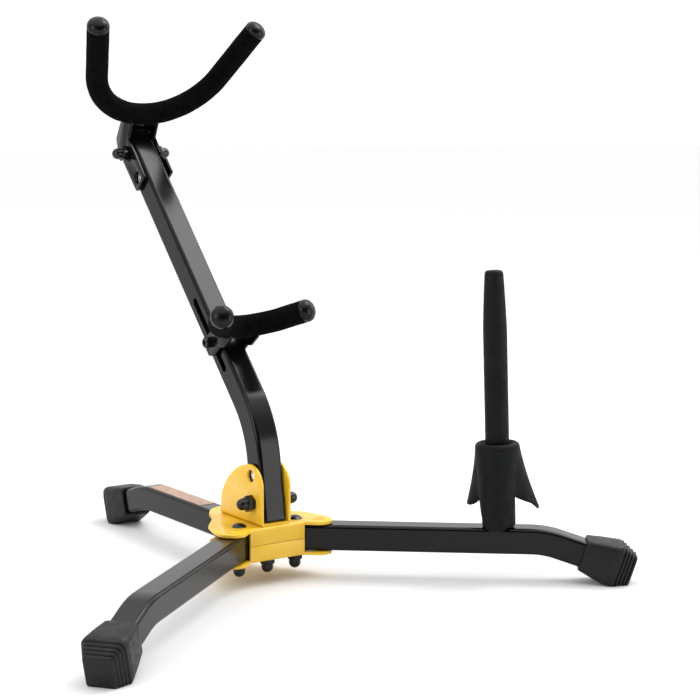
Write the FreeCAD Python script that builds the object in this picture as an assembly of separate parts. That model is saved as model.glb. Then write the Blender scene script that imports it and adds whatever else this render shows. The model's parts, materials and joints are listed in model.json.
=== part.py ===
"""Folding stand for a saxophone: leg hub, bent upright, bell yoke, body cradle and instrument peg.

Millimetres, +Z up.  The origin is the floor point under the middle bolt of the hub.
-Y is the front, where the two swinging legs point; the fixed rear leg runs along +Y.
"""
import FreeCAD
import Part
import math
import os

Vector = FreeCAD.Vector
Placement = FreeCAD.Placement
Rotation = FreeCAD.Rotation
ORIGIN = Vector(0, 0, 0)
X_AXIS = Vector(1, 0, 0)
Y_AXIS = Vector(0, 1, 0)
Z_AXIS = Vector(0, 0, 1)
LEFT = -1
RIGHT = 1

# Square tube of the legs and the upright
TUBE = 18.0
TUBE_WALL = 1.5
TUBE_CORNER = 2.5

# M6 fasteners
THREAD_R = 3.0
THREAD_GAP = 0.05
HOLE_R = 3.2
NUT_FLATS = 10.0
NUT_HEX_HEIGHT = 5.0
NUT_CHAMFER = 0.6
NUT_DOME_R = 4.1
NUT_HEIGHT = 11.8
NUT_BORE_DEPTH = 8.6
STUD_IN_NUT = 8.2
BUSH_R = 4.5
BEARING_GAP = 0.05

# Hub
LEG_Z = 28.5
HUB_SHEET = 2.0
HUB_WASHER = 0.6
HUB_WASHER_R = 8.0
LEG_PIVOT_X = 22.5
LEG_ANGLE = 51.1
FLANGE_FRONT = -13.5
FLANGE_HALF = 21.8
FLANGE_BEND_R = 1.6
SEAM_GAP = 0.3
PLATE_CORNER_R = 1.4
TONGUE_CORNER_R = 7.0
TONGUE_TIP = 26.0
TONGUE_HALF = 11.5
SHOULDER = (38.8, 13.2)
NOTCH = (24.5, 31.5)
REAR_SIDE = (18.5, 46.5)
REAR_CORNER = (12.5, 55.0)
REAR_TIP = (4.0, 60.5)
RING_AT = 17.0
RING_R = 4.0
RING_WIDTH = 1.1
RING_HEIGHT = 0.3
LEG_HEAD_R = 5.3
LEG_HEAD_HEIGHT = 2.5
MIDDLE_HEAD_R = 4.5
MIDDLE_HEAD_HEIGHT = 2.2

# Legs and feet
LEG_TAIL = 6.0
REAR_LEG_FRONT = -10.5
LEG_CORNER = 172.0
REAR_LEG_CORNER = 163.0
LEG_SLOPE = 18.0
LEG_BEND_R = 60.0
RIM_FROM_CORNER = 26.8
FOOT_RIM = 22.2
FOOT_RIM_CORNER = 4.0
FOOT_TAPER = 23.7
FOOT_TALL = 30.5
FOOT_WIDE = 28.0
FOOT_CORNER = 5.0
FOOT_RIBS = 5
FOOT_RIB = 2.46
FOOT_RIB_STEP = 2.4
FOOT_RIB_CORNER_STEP = 0.6
SOCKET_DEPTH = 28.2
SOCKET_GAP = 0.05
LABEL_START = 80.0
LABEL_END = 154.0
LABEL_WIDTH = 13.0
LABEL_THICK = 0.25

# Clevis
SHEET = 1.8
CHEEK_INNER = 9.9
CLEVIS_FRONT = -11.5
CLEVIS_REAR = 42.9
CLEVIS_STRAIGHT_TOP = 66.0
CLEVIS_TOP = (4.5, 81.0)
CLEVIS_FRONT_ROUND = (-7.4, 76.2)
CLEVIS_REAR_ROUND = (25.5, 72.8)
CLEVIS_REAR_HIGH = (40.7, 55.3)
CLEVIS_BEND_R = 2.4
PIVOT_Z = 55.0
BOSS_R = 6.6
BOSS_HEIGHT = 0.4
WASHER_R = 7.0

# Upright
LOWER_LEAN = 8.2
UPPER_LEAN = 42.8
PIVOT_TO_CORNER = 51.3
CORNER_TO_TOP = 260.3
UPRIGHT_BEND_R = 75.0
FRONT_FOOT_DEPTH = 12.7
FRONT_STRIP = 3.0
FRONT_SWING_R = 12.4
REAR_SWING_R = 10.2
SLOT_FROM = 46.9
SLOT_TO = 109.9
SLOT_WIDTH = 5.2
PLUG_CAP = 1.5
PLUG_DEPTH = 8.0

# Spring buttons
BUTTON_R = 4.1
BUTTON_HOLE_R = 4.15
BUTTON_WINDOW_R = 4.4
BUTTON_TIP = 9.85
BUTTON_DOME = 1.0
BUTTON_COLLAR_R = 5.2
BUTTON_COLLAR = 0.9
LOWER_BUTTON_UP = 18.2
UPPER_BUTTON_DOWN = 23.4
LEAF = 0.5
LEAF_WIDTH = 6.0
LEAF_LENGTH = 15.0

# Padded rods
ROD_R = 4.0
FOAM_R = 8.0
CAP_RIM = 1.0
CAP_DOME = 6.0
ROD_IN_CAP = 4.0

# Yoke
YOKE_PIVOT_BELOW_TOP = 14.6
YOKE_ROD_UP = 18.8
YOKE_ROD_FRONT = 22.3
YOKE_TILT = 42.2
YOKE_R = 52.3
YOKE_SPREAD = 17.1
YOKE_ARM = 45.7
YOKE_PLATE_BOTTOM = -30.0
TAB_TOP = -8.0
TAB_JOGGLE = 4.0
TAB_BOTTOM = -24.0
TAB_STAND_OFF = 3.7
TAB_HALF = 6.5
WEB_FROM = 12.8
WEB_TO = 21.5
WEB_GAP = 0.6

# Cradle
CRADLE_AT = 72.0
CRADLE_ROD_DOWN = 5.3
CRADLE_ROD_FRONT = 24.0
CRADLE_TILT = 69.5
CRADLE_R = 27.0
CRADLE_SPREAD = 25.0
CRADLE_ARM = 20.0
CLAMP_R = 2.5
CLAMP_WASHER_R = 6.5
CLAMP_HEAD_R = 3.7
CLAMP_HEAD = 4.0
CLAMP_SOCKET_FLATS = 3.4
CLAMP_SOCKET_DEPTH = 2.2
CLAMP_NUT_FLATS = 8.0

# Instrument peg on the right leg
PEG_ALONG = 140.5
PEG_LEAN = 2.0
PEG_LEAN_TOWARDS = 145.0
STUD_DEPTH = 8.0
STUD_TOP = 62.0
CORE_R = 5.0
CORE_TOP = 200.0
PEG_R = 8.0
PEG_TIP_R = 6.2
PEG_TAPER_Z = 186.0
PEG_SHOULDER_Z = 209.5
PEG_TOP = 213.5
SKIRT_TOP = 96.0
SKIRT_TOP_R = 15.3
SKIRT_TIP_R = 27.0
SKIRT_TIP_Z = 38.0
COLUMN_R = 11.5
SKIRT_WALL = 2.2
PETALS = 3
FIRST_PETAL = -137.0
VALLEY_TOP = 58.0
VALLEY_R = 24.0

LEG_TOP = LEG_Z + TUBE / 2
LEG_BOTTOM = LEG_Z - TUBE / 2
TOP_PLATE_Z = LEG_TOP + HUB_WASHER
TOP_PLATE_TOP = TOP_PLATE_Z + HUB_SHEET
BOTTOM_PLATE_Z = LEG_BOTTOM - HUB_WASHER - HUB_SHEET
WEB_TOP = TOP_PLATE_TOP + SHEET
CHEEK_OUTER = CHEEK_INNER + SHEET
LOWER_AXIS = Rotation(X_AXIS, -LOWER_LEAN).multVec(Z_AXIS)
UPPER_AXIS = Rotation(X_AXIS, -UPPER_LEAN).multVec(Z_AXIS)
UPPER_REAR = Rotation(X_AXIS, -UPPER_LEAN).multVec(Y_AXIS)
PIVOT = Vector(0, 0, PIVOT_Z)
CORNER = PIVOT + LOWER_AXIS * PIVOT_TO_CORNER
YOKE_PIVOT_AT = CORNER_TO_TOP - YOKE_PIVOT_BELOW_TOP
FAR = 400.0


# ---- helpers ----

def box(low, high):
    """Box between two corners."""
    size = [b - a for a, b in zip(low, high)]
    return Part.makeBox(size[0], size[1], size[2], Vector(*low))


def rod(radius, start, end):
    """Solid cylinder from one point to another."""
    return Part.makeCylinder(radius, (end - start).Length, start, end - start)


def ring(outer, inner, start, end):
    """Washer or bush from one point to another."""
    return rod(outer, start, end).cut(rod(inner, start, end))


def prism(points, push):
    """Solid made by pushing a closed polygon along a vector."""
    wire = Part.makePolygon(points + points[:1])
    return Part.Face(wire).extrude(push)


def turned(profile):
    """Solid of revolution about Z from (radius, height) corners."""
    points = [Vector(r, 0, z) for r, z in profile]
    return Part.Face(Part.makePolygon(points + points[:1])).revolve(ORIGIN, Z_AXIS, 360)


def placed(shape, point, rotation):
    """Copy of a shape, turned and then moved."""
    copy = shape.copy()
    copy.Placement = Placement(point, rotation).multiply(copy.Placement)
    return copy


def joined(solids):
    """Separate solids grouped in one node."""
    return Part.makeCompound(solids)


def mirrored(shape):
    """The same shape on the other side of the stand."""
    return shape.mirror(ORIGIN, X_AXIS)


def rounded_rectangle(width, height, radius):
    """Wire in the YZ plane with round corners, centred on the origin."""
    y = width / 2 - radius
    z = height / 2 - radius
    arcs = []
    for quarter, (cy, cz) in enumerate([(y, z), (-y, z), (-y, -z), (y, -z)]):
        turns = [math.radians(90 * quarter + extra) for extra in (0, 45, 90)]
        on_arc = [Vector(0, cy + radius * math.cos(a), cz + radius * math.sin(a)) for a in turns]
        arcs.append(Part.Arc(*on_arc).toShape())
    edges = []
    for index, arc in enumerate(arcs):
        following = arcs[(index + 1) % len(arcs)]
        edges.append(arc)
        edges.append(Part.LineSegment(arc.Vertexes[-1].Point, following.Vertexes[0].Point).toShape())
    return Part.Wire(edges)


def square_tube_section():
    """Hollow section of the square tube."""
    inside = TUBE - 2 * TUBE_WALL
    outer = Part.Face(rounded_rectangle(TUBE, TUBE, TUBE_CORNER))
    inner = Part.Face(rounded_rectangle(inside, inside, TUBE_CORNER - TUBE_WALL))
    return outer.cut(inner)


def round_section(outer, inner=0.0):
    """Round section, solid or hollow."""
    disc = Part.Face(Part.Wire(Part.makeCircle(outer, ORIGIN, X_AXIS)))
    if not inner:
        return disc
    return disc.cut(Part.Face(Part.Wire(Part.makeCircle(inner, ORIGIN, X_AXIS))))


def swept(section, start, heading, segments):
    """Push a section along lines and arcs in the XZ plane.

    A segment is ("line", length) or ("arc", radius, turn); headings and turns are in degrees.
    """
    position = start
    pieces = []
    for segment in segments:
        turn_to = Rotation(Y_AXIS, -heading)
        face = placed(section, position, turn_to)
        forward = turn_to.multVec(X_AXIS)
        if segment[0] == "line":
            pieces.append(face.extrude(forward * segment[1]))
            position = position + forward * segment[1]
        else:
            radius, turn = segment[1:]
            side = math.copysign(1, turn)
            centre = position + turn_to.multVec(Z_AXIS) * radius * side
            pieces.append(face.revolve(centre, Y_AXIS * -side, abs(turn)))
            position = centre + Rotation(Y_AXIS, -turn).multVec(position - centre)
            heading = heading + turn
    return pieces[0].fuse(pieces[1:]).removeSplitter()


def along(direction, shape, point=ORIGIN):
    """Turn a shape that stands on Z so that it points along a direction."""
    return placed(shape, point, Rotation(Z_AXIS, direction))


def hexagon(flats, height):
    """Hexagonal prism on Z with chamfered ends."""
    corner = flats / math.sqrt(3)
    turns = [math.radians(60 * step) for step in range(6)]
    points = [Vector(corner * math.cos(a), corner * math.sin(a), 0) for a in turns]
    bevel = [(0, 0), (corner - NUT_CHAMFER, 0), (corner, NUT_CHAMFER / 2),
             (corner, height - NUT_CHAMFER / 2), (corner - NUT_CHAMFER, height), (0, height)]
    return prism(points, Z_AXIS * height).common(turned(bevel))


def dome(radius, height):
    """Low spherical cap standing on Z = 0."""
    ball_r = (radius ** 2 + height ** 2) / (2 * height)
    ball = Part.makeSphere(ball_r, Vector(0, 0, height - ball_r))
    return ball.common(Part.makeCylinder(radius + 1, height + 1))


def acorn_nut():
    """Domed nut standing on Z = 0 with a blind bore."""
    ball_z = NUT_HEIGHT - NUT_DOME_R
    crown = Part.makeCylinder(NUT_DOME_R, ball_z).fuse(Part.makeSphere(NUT_DOME_R, Vector(0, 0, ball_z)))
    crown = crown.common(Part.makeCylinder(2 * NUT_DOME_R, NUT_HEIGHT))
    bore = Part.makeCylinder(THREAD_R + THREAD_GAP, NUT_BORE_DEPTH)
    return hexagon(NUT_FLATS, NUT_HEX_HEIGHT).fuse(crown).removeSplitter().cut(bore)


def on_lower_tube(shape, distance=0.0):
    """Place a shape drawn as (x, rearward, up the tube) on the lower stretch of the upright."""
    return placed(shape, PIVOT + LOWER_AXIS * distance, Rotation(X_AXIS, -LOWER_LEAN))


def on_upper_tube(shape, distance=0.0):
    """Place a shape drawn as (x, rearward, up the tube) at a distance past the upright's bend."""
    return placed(shape, CORNER + UPPER_AXIS * distance, Rotation(X_AXIS, -UPPER_LEAN))


# ---- hub ----

def leg_point(along_leg, across):
    """Plan position on the right leg, measured from its pivot."""
    angle = math.radians(LEG_ANGLE)
    x = LEG_PIVOT_X + along_leg * math.sin(angle) + across * math.cos(angle)
    y = -along_leg * math.cos(angle) + across * math.sin(angle)
    return (x, y)


def plate_outline():
    """Right half of the hub plate, from the front flange round to the rear tip."""
    chamfer = TONGUE_HALF / 2
    return [(FLANGE_HALF, FLANGE_FRONT),
            leg_point(TONGUE_TIP - chamfer, -TONGUE_HALF),
            leg_point(TONGUE_TIP, -chamfer),
            leg_point(TONGUE_TIP, chamfer - HUB_SHEET),
            leg_point(TONGUE_TIP - chamfer - HUB_SHEET, TONGUE_HALF),
            SHOULDER, NOTCH, REAR_SIDE, REAR_CORNER, REAR_TIP]


def hub_plate():
    """Flat hub plate with its three bolt holes, standing on Z = 0."""
    right_half = plate_outline()
    left_half = [(-x, y) for x, y in reversed(right_half)]
    plate = prism([Vector(x, y, 0) for x, y in right_half + left_half], Z_AXIS * HUB_SHEET)
    upright_edges = [edge for edge in plate.Edges if edge.BoundBox.ZLength > HUB_SHEET / 2]
    tongue = [edge for edge in upright_edges if edge.Vertexes[0].Y < 0
              and abs(edge.Vertexes[0].X) > FLANGE_HALF + 1]
    plate = plate.makeFillet(TONGUE_CORNER_R, tongue)
    corners = [edge for edge in plate.Edges if edge.BoundBox.ZLength > HUB_SHEET / 2
               and edge.Vertexes[0].Y > SHOULDER[1] - 1]
    plate = plate.makeFillet(PLATE_CORNER_R, corners)
    for x in (-LEG_PIVOT_X, 0, LEG_PIVOT_X):
        plate = plate.cut(Part.makeCylinder(HOLE_R, HUB_SHEET, Vector(x, 0, 0)))
    return plate


def with_flange(plate, fold_z, edge_z):
    """Fold the front edge of a hub plate from its outer face to the seam."""
    low = min(fold_z, edge_z)
    high = max(fold_z, edge_z)
    flange = box((-FLANGE_HALF, FLANGE_FRONT, low), (FLANGE_HALF, FLANGE_FRONT + HUB_SHEET, high))
    folded = plate.fuse(flange).removeSplitter()
    lines = [edge for edge in folded.Edges if edge.BoundBox.XLength > FLANGE_HALF]
    bend = [edge for edge in lines if abs(edge.BoundBox.YMax - FLANGE_FRONT) < 0.01
            and abs(edge.BoundBox.ZMin - fold_z) < 0.01 and edge.BoundBox.ZLength < 0.01]
    return folded.makeFillet(FLANGE_BEND_R, bend)


def hub_top_plate():
    plate = with_flange(placed(hub_plate(), Z_AXIS * TOP_PLATE_Z, Rotation()),
                        TOP_PLATE_TOP, LEG_Z + SEAM_GAP / 2)
    x, y = leg_point(RING_AT, 0)
    base = Vector(x, y, TOP_PLATE_TOP - RING_HEIGHT)
    raised = ring(RING_R, RING_R - RING_WIDTH, base, base + Z_AXIS * 2 * RING_HEIGHT)
    return plate.fuse([raised, mirrored(raised)]).removeSplitter()


def hub_bottom_plate():
    plate = placed(hub_plate(), Z_AXIS * BOTTOM_PLATE_Z, Rotation())
    return with_flange(plate, BOTTOM_PLATE_Z, LEG_Z - SEAM_GAP / 2)


def hub_bolt(x, seat, head_r, head_height):
    """Bolt through the hub, from its low domed head to the nut underneath."""
    head = placed(dome(head_r, head_height), Vector(x, 0, seat), Rotation())
    return head.fuse(rod(THREAD_R, Vector(x, 0, BOTTOM_PLATE_Z - STUD_IN_NUT), Vector(x, 0, seat)))


def clevis_cheek():
    """One upright cheek of the clevis, on the right."""
    def at(point):
        return Vector(CHEEK_INNER, point[0], point[1])
    low_front = at((CLEVIS_FRONT, TOP_PLATE_TOP))
    high_front = at((CLEVIS_FRONT, CLEVIS_STRAIGHT_TOP))
    low_rear = at((CLEVIS_REAR, TOP_PLATE_TOP))
    edges = [Part.LineSegment(low_front, high_front),
             Part.Arc(high_front, at(CLEVIS_FRONT_ROUND), at(CLEVIS_TOP)),
             Part.Arc(at(CLEVIS_TOP), at(CLEVIS_REAR_ROUND), at(CLEVIS_REAR_HIGH)),
             Part.LineSegment(at(CLEVIS_REAR_HIGH), low_rear),
             Part.LineSegment(low_rear, low_front)]
    cheek = Part.Face(Part.Wire([edge.toShape() for edge in edges])).extrude(X_AXIS * SHEET)
    outside = PIVOT + X_AXIS * CHEEK_OUTER
    return cheek.fuse(rod(BOSS_R, outside, outside + X_AXIS * BOSS_HEIGHT))


def clevis():
    """U-shaped bracket that carries the upright."""
    web = box((-CHEEK_OUTER, CLEVIS_FRONT, TOP_PLATE_TOP), (CHEEK_OUTER, CLEVIS_REAR, WEB_TOP))
    cheek = clevis_cheek()
    shape = web.fuse([cheek, mirrored(cheek)]).removeSplitter()
    bends = [edge for edge in shape.Edges if edge.BoundBox.YLength > CLEVIS_REAR
             and abs(edge.BoundBox.ZMax - TOP_PLATE_TOP) < 0.01]
    shape = shape.makeFillet(CLEVIS_BEND_R, bends)
    reach = X_AXIS * FAR
    window = PIVOT + LOWER_AXIS * LOWER_BUTTON_UP
    holes = [rod(HOLE_R, PIVOT - reach, PIVOT + reach),
             rod(BUTTON_WINDOW_R, window - reach, window),
             rod(HOLE_R, ORIGIN, Z_AXIS * PIVOT_Z)]
    return shape.cut(holes)


def hub_washers():
    """Thin washers above and below each leg."""
    washers = []
    for x in (-LEG_PIVOT_X, 0, LEG_PIVOT_X):
        for z in (LEG_BOTTOM - HUB_WASHER, LEG_TOP):
            base = Vector(x, 0, z)
            washers.append(ring(HUB_WASHER_R, BUSH_R + BEARING_GAP, base, base + Z_AXIS * HUB_WASHER))
    return joined(washers)


def hub_bushes():
    """Spacer bushes that the legs turn on."""
    bushes = []
    for x in (-LEG_PIVOT_X, 0, LEG_PIVOT_X):
        low = Vector(x, 0, LEG_BOTTOM - HUB_WASHER)
        bushes.append(ring(BUSH_R, THREAD_R + THREAD_GAP, low, Vector(x, 0, TOP_PLATE_Z)))
    return joined(bushes)


def hub_nuts():
    """Acorn nuts under the hub."""
    seats = [Vector(x, 0, BOTTOM_PLATE_Z) for x in (-LEG_PIVOT_X, 0, LEG_PIVOT_X)]
    return joined([placed(acorn_nut(), seat, Rotation(X_AXIS, 180)) for seat in seats])


# ---- legs ----

def leg_tube(first, corner):
    """Leg along +X with a downward slope at its end; its pivot is at X = 0."""
    tangent = LEG_BEND_R * math.tan(math.radians(LEG_SLOPE / 2))
    start = Vector(first, 0, LEG_Z)
    path = [("line", corner - tangent - first),
            ("arc", LEG_BEND_R, -LEG_SLOPE),
            ("line", RIM_FROM_CORNER + SOCKET_DEPTH - 0.2 - tangent)]
    tube = swept(square_tube_section(), start, 0, path)
    return tube.cut(rod(BUSH_R + BEARING_GAP, ORIGIN, Z_AXIS * LEG_TOP))


def foot(corner):
    """Ribbed rubber foot on the sloping end of a leg along +X."""
    rim = rounded_rectangle(FOOT_RIM, FOOT_RIM, FOOT_RIM_CORNER)
    shoulder = rounded_rectangle(FOOT_WIDE, FOOT_TALL, FOOT_CORNER)
    shoulder.translate(X_AXIS * FOOT_TAPER)
    body = Part.makeLoft([rim, shoulder], True, True)
    for rib in range(FOOT_RIBS):
        less = rib * FOOT_RIB_STEP
        corner_r = FOOT_CORNER - rib * FOOT_RIB_CORNER_STEP
        outline = rounded_rectangle(FOOT_WIDE - less, FOOT_TALL - less, corner_r)
        step = Part.Face(outline).extrude(X_AXIS * (FOOT_RIB + 0.01))
        step.translate(X_AXIS * (FOOT_TAPER + rib * FOOT_RIB))
        body = body.fuse(step)
    socket_side = TUBE + 2 * SOCKET_GAP
    socket = Part.Face(rounded_rectangle(socket_side, socket_side, TUBE_CORNER + SOCKET_GAP))
    body = body.removeSplitter().cut(socket.extrude(X_AXIS * SOCKET_DEPTH))
    slope = Rotation(Y_AXIS, LEG_SLOPE)
    rim_centre = Vector(corner, 0, LEG_Z) + slope.multVec(X_AXIS) * RIM_FROM_CORNER
    body = placed(body, rim_centre, slope)
    return body.cut(box((-FAR, -FAR, -FAR), (FAR, FAR, 0)))


def on_right_leg(shape):
    """Swing a shape drawn along +X into the right leg's place."""
    return placed(shape, Vector(LEG_PIVOT_X, 0, 0), Rotation(Z_AXIS, LEG_ANGLE - 90))


def on_rear_leg(shape):
    """Swing a shape drawn along +X into the rear leg's place."""
    return placed(shape, ORIGIN, Rotation(Z_AXIS, 90))


def label_band():
    """Plain band on the top face of the rear leg."""
    half = LABEL_WIDTH / 2
    return box((-half, LABEL_START, LEG_TOP), (half, LABEL_END, LEG_TOP + LABEL_THICK))


# ---- instrument peg ----

def peg_centre():
    x, y = leg_point(PEG_ALONG, 0)
    return Vector(x, y, 0)


def at_peg(shape):
    """Move a shape drawn on the Z axis to the peg's place, leaning about the leg's top face."""
    lean_axis = Rotation(Z_AXIS, PEG_LEAN_TOWARDS).multVec(Y_AXIS)
    lean = Rotation(lean_axis, PEG_LEAN)
    seat = Z_AXIS * LEG_TOP
    return placed(shape, peg_centre() + seat - lean.multVec(seat), lean)


def seated(shape):
    """Cut a leaning shape flat where it stands on the leg."""
    return shape.cut(box((-FAR, -FAR, 0), (FAR, FAR, LEG_TOP)))


def peg_stud():
    return at_peg(rod(THREAD_R, Z_AXIS * (LEG_TOP - STUD_DEPTH), Z_AXIS * STUD_TOP))


def peg_stud_nut():
    """Nut inside the leg, under its top wall."""
    nut = hexagon(NUT_FLATS, NUT_HEX_HEIGHT).cut(Part.makeCylinder(THREAD_R + THREAD_GAP, FAR))
    low = LEG_TOP - TUBE_WALL - NUT_HEX_HEIGHT - 0.3
    return at_peg(placed(nut, Z_AXIS * low, Rotation()))


def peg_core():
    core = rod(CORE_R, Z_AXIS * LEG_Z, Z_AXIS * CORE_TOP)
    bore = rod(THREAD_R + THREAD_GAP, Z_AXIS * LEG_Z, Z_AXIS * (STUD_TOP + 1))
    return seated(at_peg(core.cut(bore)))


def peg_shaft():
    """Rubber sleeve of the peg, with a rounded tip."""
    straight = rod(PEG_R, Z_AXIS * SKIRT_TOP, Z_AXIS * PEG_TAPER_Z)
    cone = Part.makeCone(PEG_R, PEG_TIP_R, PEG_SHOULDER_Z - PEG_TAPER_Z, Z_AXIS * PEG_TAPER_Z)
    tip = placed(dome(PEG_TIP_R, PEG_TOP - PEG_SHOULDER_Z), Z_AXIS * PEG_SHOULDER_Z, Rotation())
    sleeve = straight.fuse([cone, tip]).removeSplitter()
    return at_peg(sleeve.cut(rod(CORE_R + BEARING_GAP, ORIGIN, Z_AXIS * (CORE_TOP + 0.2))))


def peg_skirt():
    """Flared rubber skirt with three pointed petals round a plain column."""
    cone = turned([(CORE_R + BEARING_GAP, SKIRT_TOP), (SKIRT_TOP_R - 2, SKIRT_TOP),
                   (SKIRT_TOP_R, SKIRT_TOP - 2), (SKIRT_TIP_R, SKIRT_TIP_Z),
                   (SKIRT_TIP_R - SKIRT_WALL, SKIRT_TIP_Z),
                   (COLUMN_R + SKIRT_WALL, SKIRT_TOP - 3 * SKIRT_WALL),
                   (COLUMN_R, SKIRT_TOP - 4 * SKIRT_WALL),
                   (COLUMN_R, LEG_Z), (CORE_R + BEARING_GAP, LEG_Z)])
    for petal in range(PETALS):
        valley = math.radians(FIRST_PETAL + (petal + 0.5) * 360 / PETALS)
        outward = Vector(math.cos(valley), math.sin(valley), 0)
        centre = Z_AXIS * (VALLEY_TOP - VALLEY_R)
        arch = rod(VALLEY_R, centre + outward * (COLUMN_R + 0.5), centre + outward * 2 * SKIRT_TIP_R)
        cone = cone.cut(arch)
    return seated(at_peg(cone))


# ---- upright ----

def upright_tube():
    """Bent square tube with its pivot holes, button holes and the slot for the cradle's clamp."""
    bend = UPPER_LEAN - LOWER_LEAN
    tangent = UPRIGHT_BEND_R * math.tan(math.radians(bend / 2))
    path = [("line", FRONT_FOOT_DEPTH + PIVOT_TO_CORNER - tangent),
            ("arc", UPRIGHT_BEND_R, -bend),
            ("line", CORNER_TO_TOP - tangent)]
    tube = swept(square_tube_section(), ORIGIN, 90 - LOWER_LEAN, path)
    tube = placed(tube, PIVOT - LOWER_AXIS * FRONT_FOOT_DEPTH, Rotation(Z_AXIS, 90))
    return tube.cut(upright_openings())


def upright_openings():
    """Everything that is cut out of the upright's tube."""
    half = TUBE / 2 + 1
    reach = X_AXIS * half
    swing = rod(FRONT_SWING_R, -reach, reach)
    rear_swing = rod(REAR_SWING_R, -reach, reach)
    low = -2 * half
    middle = box((-half, FRONT_STRIP - TUBE / 2, low), (half, 0, 0)).cut(swing)
    rear = box((-half, 0, low), (half, half, 0)).cut(rear_swing)
    button = rod(BUTTON_HOLE_R, -reach, ORIGIN)
    slot = box((-half, -SLOT_WIDTH / 2, SLOT_FROM + SLOT_WIDTH / 2),
               (half, SLOT_WIDTH / 2, SLOT_TO - SLOT_WIDTH / 2))
    cuts = [on_lower_tube(middle), on_lower_tube(rear), on_lower_tube(rod(BUSH_R, -reach, reach)),
            on_lower_tube(button, LOWER_BUTTON_UP), on_upper_tube(slot),
            on_upper_tube(rod(BUSH_R, -reach, reach), YOKE_PIVOT_AT),
            on_upper_tube(button, YOKE_PIVOT_AT - UPPER_BUTTON_DOWN)]
    for end in (SLOT_FROM + SLOT_WIDTH / 2, SLOT_TO - SLOT_WIDTH / 2):
        cuts.append(on_upper_tube(rod(SLOT_WIDTH / 2, -reach, reach), end))
    return cuts


def pivot_bush():
    """Bush pressed through the tube, on the X axis."""
    reach = X_AXIS * TUBE / 2
    return ring(BUSH_R, THREAD_R + BEARING_GAP, -reach, reach)


def side_washers(outer, inner):
    """Pair of washers between the tube and a bracket's cheeks."""
    near = X_AXIS * TUBE / 2
    far = X_AXIS * CHEEK_INNER
    return joined([ring(outer, inner, near, far), ring(outer, inner, -far, -near)])


def side_nuts(seat):
    """Pair of acorn nuts facing outwards on the X axis."""
    return joined([along(X_AXIS * side, acorn_nut(), X_AXIS * side * seat) for side in (LEFT, RIGHT)])


def side_stud(seat):
    """Threaded stud on the X axis that ends inside two acorn nuts."""
    reach = X_AXIS * (seat + STUD_IN_NUT)
    return rod(THREAD_R, -reach, reach)


def top_plug():
    """Plastic plug in the open top of the upright."""
    inside = TUBE - 2 * TUBE_WALL - 0.1
    half = inside / 2
    insert = box((-half, -half, -PLUG_DEPTH), (half, half, 0))
    insert = insert.makeFillet(TUBE_CORNER - TUBE_WALL, [e for e in insert.Edges if e.BoundBox.ZLength > 1])
    cap = placed(Part.Face(rounded_rectangle(TUBE, TUBE, TUBE_CORNER)), ORIGIN, Rotation(Y_AXIS, -90))
    return on_upper_tube(insert.fuse(cap.extrude(Z_AXIS * PLUG_CAP)), CORNER_TO_TOP)


def snap_button():
    """Domed button that looks out of the left wall, with a collar inside the tube."""
    wall = TUBE / 2 - TUBE_WALL - 0.1
    back = Z_AXIS * (wall - BUTTON_COLLAR)
    dome_base = Z_AXIS * (BUTTON_TIP - BUTTON_DOME)
    collar = rod(BUTTON_COLLAR_R, back, Z_AXIS * wall)
    crown = placed(dome(BUTTON_R, BUTTON_DOME), dome_base, Rotation())
    return along(-X_AXIS, collar.fuse([rod(BUTTON_R, back, dome_base), crown]).removeSplitter())


def leaf_spring():
    """V-shaped leaf between the button's back and the far wall."""
    wall = TUBE / 2 - TUBE_WALL
    back = wall - 1.0
    outline = [(-back, -3), (-back, 3), (-LEAF, LEAF_LENGTH), (LEAF, LEAF_LENGTH), (wall, 3), (wall, -3),
               (wall - LEAF, -3), (wall - LEAF, 3), (0, LEAF_LENGTH - 2 * LEAF), (LEAF - back, 3),
               (LEAF - back, -3)]
    points = [Vector(x, -LEAF_WIDTH / 2, z) for x, z in outline]
    return prism(points, Y_AXIS * LEAF_WIDTH)


# ---- padded yokes ----

def arm_end(radius, spread, arm):
    """Right end of a U that opens along +Z, with its lowest point at the origin."""
    angle = math.radians(spread)
    x = radius * math.cos(angle) + arm * math.sin(angle)
    z = radius - radius * math.sin(angle) + arm * math.cos(angle)
    return Vector(x, 0, z)


def u_sweep(section, radius, spread, arm, beyond=0.0):
    """Sweep a section round a U; beyond lengthens both arms."""
    length = arm + beyond
    end = arm_end(radius, spread, length)
    path = [("line", length), ("arc", radius, 180 - 2 * spread), ("line", length)]
    return swept(section, Vector(-end.x, 0, end.z), spread - 90, path)


def end_caps(radius, spread, arm):
    """Two domed caps on the arm ends of a U."""
    shell = Part.makeCylinder(FOAM_R, CAP_RIM)
    crown = placed(dome(FOAM_R, CAP_DOME), Z_AXIS * CAP_RIM, Rotation())
    socket = Part.makeCylinder(ROD_R + THREAD_GAP, ROD_IN_CAP + THREAD_GAP)
    cap = shell.fuse(crown).removeSplitter().cut(socket)
    outward = Vector(math.sin(math.radians(spread)), 0, math.cos(math.radians(spread)))
    right = along(outward, cap, arm_end(radius, spread, arm))
    return joined([mirrored(right), right])


def bracket_plate(outline, side):
    """Flat cheek beside the tube from (up, rearward) corners, with rounded corners."""
    start = CHEEK_INNER if side == RIGHT else -CHEEK_OUTER
    plate = prism([Vector(start, rearward, up) for up, rearward in outline], X_AXIS * SHEET)
    corners = [edge for edge in plate.Edges if edge.BoundBox.XLength > SHEET / 2]
    return plate.makeFillet(HUB_SHEET, corners)


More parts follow.
